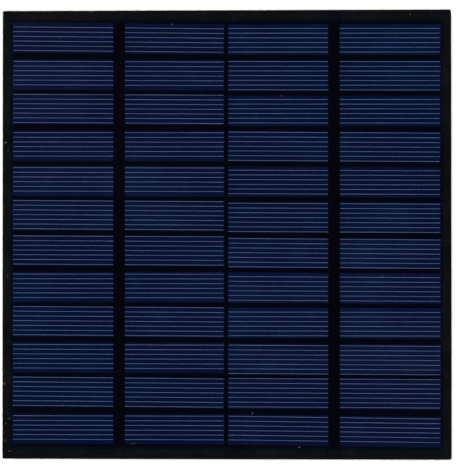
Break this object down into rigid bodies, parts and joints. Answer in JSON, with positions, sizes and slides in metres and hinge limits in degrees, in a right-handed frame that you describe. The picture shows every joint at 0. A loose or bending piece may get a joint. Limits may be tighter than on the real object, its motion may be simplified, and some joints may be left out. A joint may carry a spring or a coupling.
{
  "type": "solar panel",
  "caption": "Small square solar panel: two strings of narrow polycrystalline cells laminated on a black circuit board under clear film, with solder terminals on the back.",
  "frame": {"origin": "centre of the back face", "axes": "+Z out of the sunny side, +Y along the strings towards the terminals' edge, +X across the strings"},
  "size_m": [0.145, 0.145, 0.003],
  "materials": {
    "glass_epoxy": "sawn edge of glass-cloth epoxy laminate, dull",
    "solder_mask": "black solder mask, satin",
    "copper": "etched copper foil, all under solder mask",
    "solder": "reflowed solder, bright grey",
    "tinned_pad": "hot-air levelled solder coat, bright",
    "encapsulant": "clear soft encapsulant, no surface of its own outside",
    "clear_film": "clear polyester film, smooth with faint waves from the laminating",
    "silicon": "dark blue polycrystalline silicon with an anti-reflection coat",
    "silver_paste": "fired silver paste, matt grey",
    "aluminium_paste": "fired aluminium paste, matt",
    "tinned_ribbon": "tinned copper ribbon, satin",
    "cover_tape": "black polyester tape, matt"
  },
  "bodies": {
    "root": {"back_encapsulant": "encapsulant", "back_solder_mask": "solder_mask", "board_core": "glass_epoxy", "cell_left_01": "silicon", "cell_left_02": "silicon", "cell_left_03": "silicon", "cell_left_04": "silicon", "cell_left_05": "silicon", "cell_left_06": "silicon", "cell_left_07": "silicon", "cell_left_08": "silicon", "cell_left_09": "silicon", "cell_left_10": "silicon", "cell_left_11": "silicon", "cell_left_12": "silicon", "cell_right_01": "silicon", "cell_right_02": "silicon", "cell_right_03": "silicon", "cell_right_04": "silicon", "cell_right_05": "silicon", "cell_right_06": "silicon", "cell_right_07": "silicon", "cell_right_08": "silicon", "cell_right_09": "silicon", "cell_right_10": "silicon", "cell_right_11": "silicon", "cell_right_12": "silicon", "front_encapsulant": "encapsulant", "front_film": "clear_film", "front_solder_mask": "solder_mask", "landing_pads": "copper", "landing_solder": "solder", "left_aluminium_backs": "aluminium_paste", "left_back_contacts": "silver_paste", "left_cover_tape": "cover_tape", "left_link_ribbon": "tinned_ribbon", "left_silver_grids": "silver_paste", "left_string_ribbons": "tinned_ribbon", "negative_end_ribbon": "tinned_ribbon", "negative_mark": "tinned_pad", "negative_terminal_pad": "tinned_pad", "negative_trace": "copper", "positive_end_ribbon": "tinned_ribbon", "positive_mark": "tinned_pad", "positive_terminal_pad": "tinned_pad", "positive_trace": "copper", "right_aluminium_backs": "aluminium_paste", "right_back_contacts": "silver_paste", "right_cover_tape": "cover_tape", "right_link_ribbon": "tinned_ribbon", "right_silver_grids": "silver_paste", "right_string_ribbons": "tinned_ribbon", "string_link_trace": "copper", "via_barrels": "copper", "via_solder_fills": "solder"}
  },
  "joints": []
}
